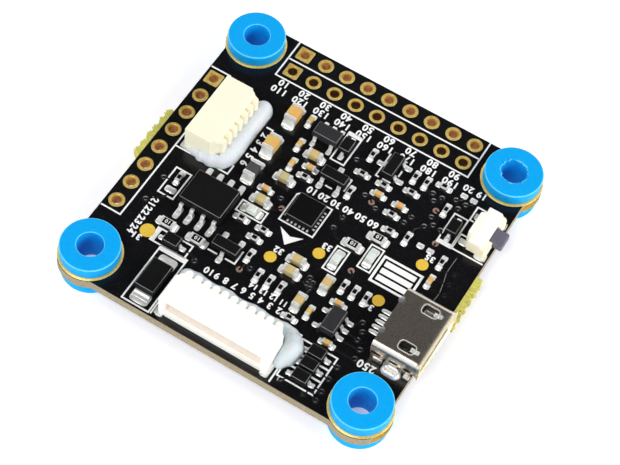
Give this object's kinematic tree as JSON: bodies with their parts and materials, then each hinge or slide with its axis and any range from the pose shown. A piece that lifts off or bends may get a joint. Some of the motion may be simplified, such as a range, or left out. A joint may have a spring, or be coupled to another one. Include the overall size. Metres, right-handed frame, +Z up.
{
  "type": "flight controller board",
  "caption": "Square black circuit board on soft blue grommets, with side-entry sockets, micro USB port, plated headers and a side-push boot button.",
  "frame": {"origin": "centre of the square grommet pattern, in the plane of the grommets' lower faces", "axes": "+Z up out of the component side, through the grommet bores; -Y towards the front, where the printed arrow points; +X towards the USB port"},
  "size_m": [0.037, 0.037, 0.0057],
  "materials": {
    "solder_mask": "glossy black solder mask over woven glass epoxy",
    "blue_rubber": "soft azure silicone rubber",
    "gold_plating": "thin matte gold over copper",
    "solder_tin": "bright tinned metal",
    "ivory_nylon": "moulded ivory nylon",
    "cream_nylon": "moulded cream nylon",
    "clear_silicone": "cloudy translucent silicone glue",
    "white_silicone": "glossy white silicone glue",
    "pewter_shell": "tinned steel with a warm grey tarnish",
    "black_nylon": "black moulded nylon",
    "grey_plunger": "dark grey moulded plastic",
    "spring_steel": "bare spring steel",
    "black_epoxy": "matte black moulding compound",
    "grey_epoxy": "dark grey moulding compound",
    "white_resin": "white resin base",
    "clear_resin": "milky clear resin",
    "black_glaze": "black glazed film on ceramic",
    "amber_ceramic": "fired amber ceramic",
    "tan_ceramic": "fired tan ceramic",
    "grey_ferrite": "fired grey ferrite",
    "white_ink": "matte white printing ink",
    "nickel_can": "nickel-plated lid"
  },
  "bodies": {
    "board": {"boot_switch_cover": "cream_nylon", "boot_switch_dome": "spring_steel", "boot_switch_housing": "cream_nylon", "boot_switch_terminals": "solder_tin", "circuit_board": "solder_mask", "crystal": "nickel_can", "ferrite_bead_bodies": "grey_ferrite", "ferrite_bead_ends": "solder_tin", "front_socket_contacts": "solder_tin", "front_socket_glue": "clear_silicone", "front_socket_housing": "ivory_nylon", "front_socket_solder_tabs": "solder_tin", "grommet_front_left": "blue_rubber", "grommet_front_right": "blue_rubber", "grommet_rear_left": "blue_rubber", "grommet_rear_right": "blue_rubber", "input_diode_body": "black_epoxy", "input_diode_leads": "solder_tin", "large_capacitor_bodies": "amber_ceramic", "large_capacitor_ends": "solder_tin", "large_resistor_bodies": "black_glaze", "large_resistor_ends": "solder_tin", "led_bases": "white_resin", "led_ends": "solder_tin", "led_lenses": "clear_resin", "left_header_eyelets": "gold_plating", "left_socket_contacts": "solder_tin", "left_socket_glue": "white_silicone", "left_socket_housing": "cream_nylon", "left_socket_solder_tabs": "solder_tin", "medium_capacitor_bodies": "tan_ceramic", "medium_capacitor_ends": "solder_tin", "memory_chip_body": "black_epoxy", "memory_chip_leads": "solder_tin", "microcontroller_body": "black_epoxy", "microcontroller_leads": "solder_tin", "motion_sensor_body": "black_epoxy", "motion_sensor_leads": "solder_tin", "mounting_hole_rings": "gold_plating", "rear_inner_header_eyelets": "gold_plating", "rear_outer_header_eyelets": "gold_plating", "regulator_bodies": "grey_epoxy", "regulator_leads": "solder_tin", "small_capacitor_bodies": "amber_ceramic", "small_capacitor_ends": "solder_tin", "small_diode_bodies": "black_epoxy", "small_diode_leads": "solder_tin", "small_resistor_bodies": "black_glaze", "small_resistor_ends": "solder_tin", "solder_lands": "solder_tin", "test_pads": "gold_plating", "transistor_bodies": "black_epoxy", "transistor_leads": "solder_tin", "underside_capacitor_bodies": "tan_ceramic", "underside_capacitor_ends": "solder_tin", "usb_contacts": "gold_plating", "usb_insulator": "black_nylon", "usb_leg_eyelets": "solder_tin", "usb_shell": "pewter_shell"},
    "boot_button": {"boot_switch_plunger": "grey_plunger"}
  },
  "joints": [
    {"name": "boot_button_press", "type": "slide", "parent": "board", "child": "boot_button", "axis": [-1, 0, 0], "range_m": [0, 0.00025], "stiffness_N_per_m": 100, "deforming": ["boot_switch_dome"]}
  ]
}
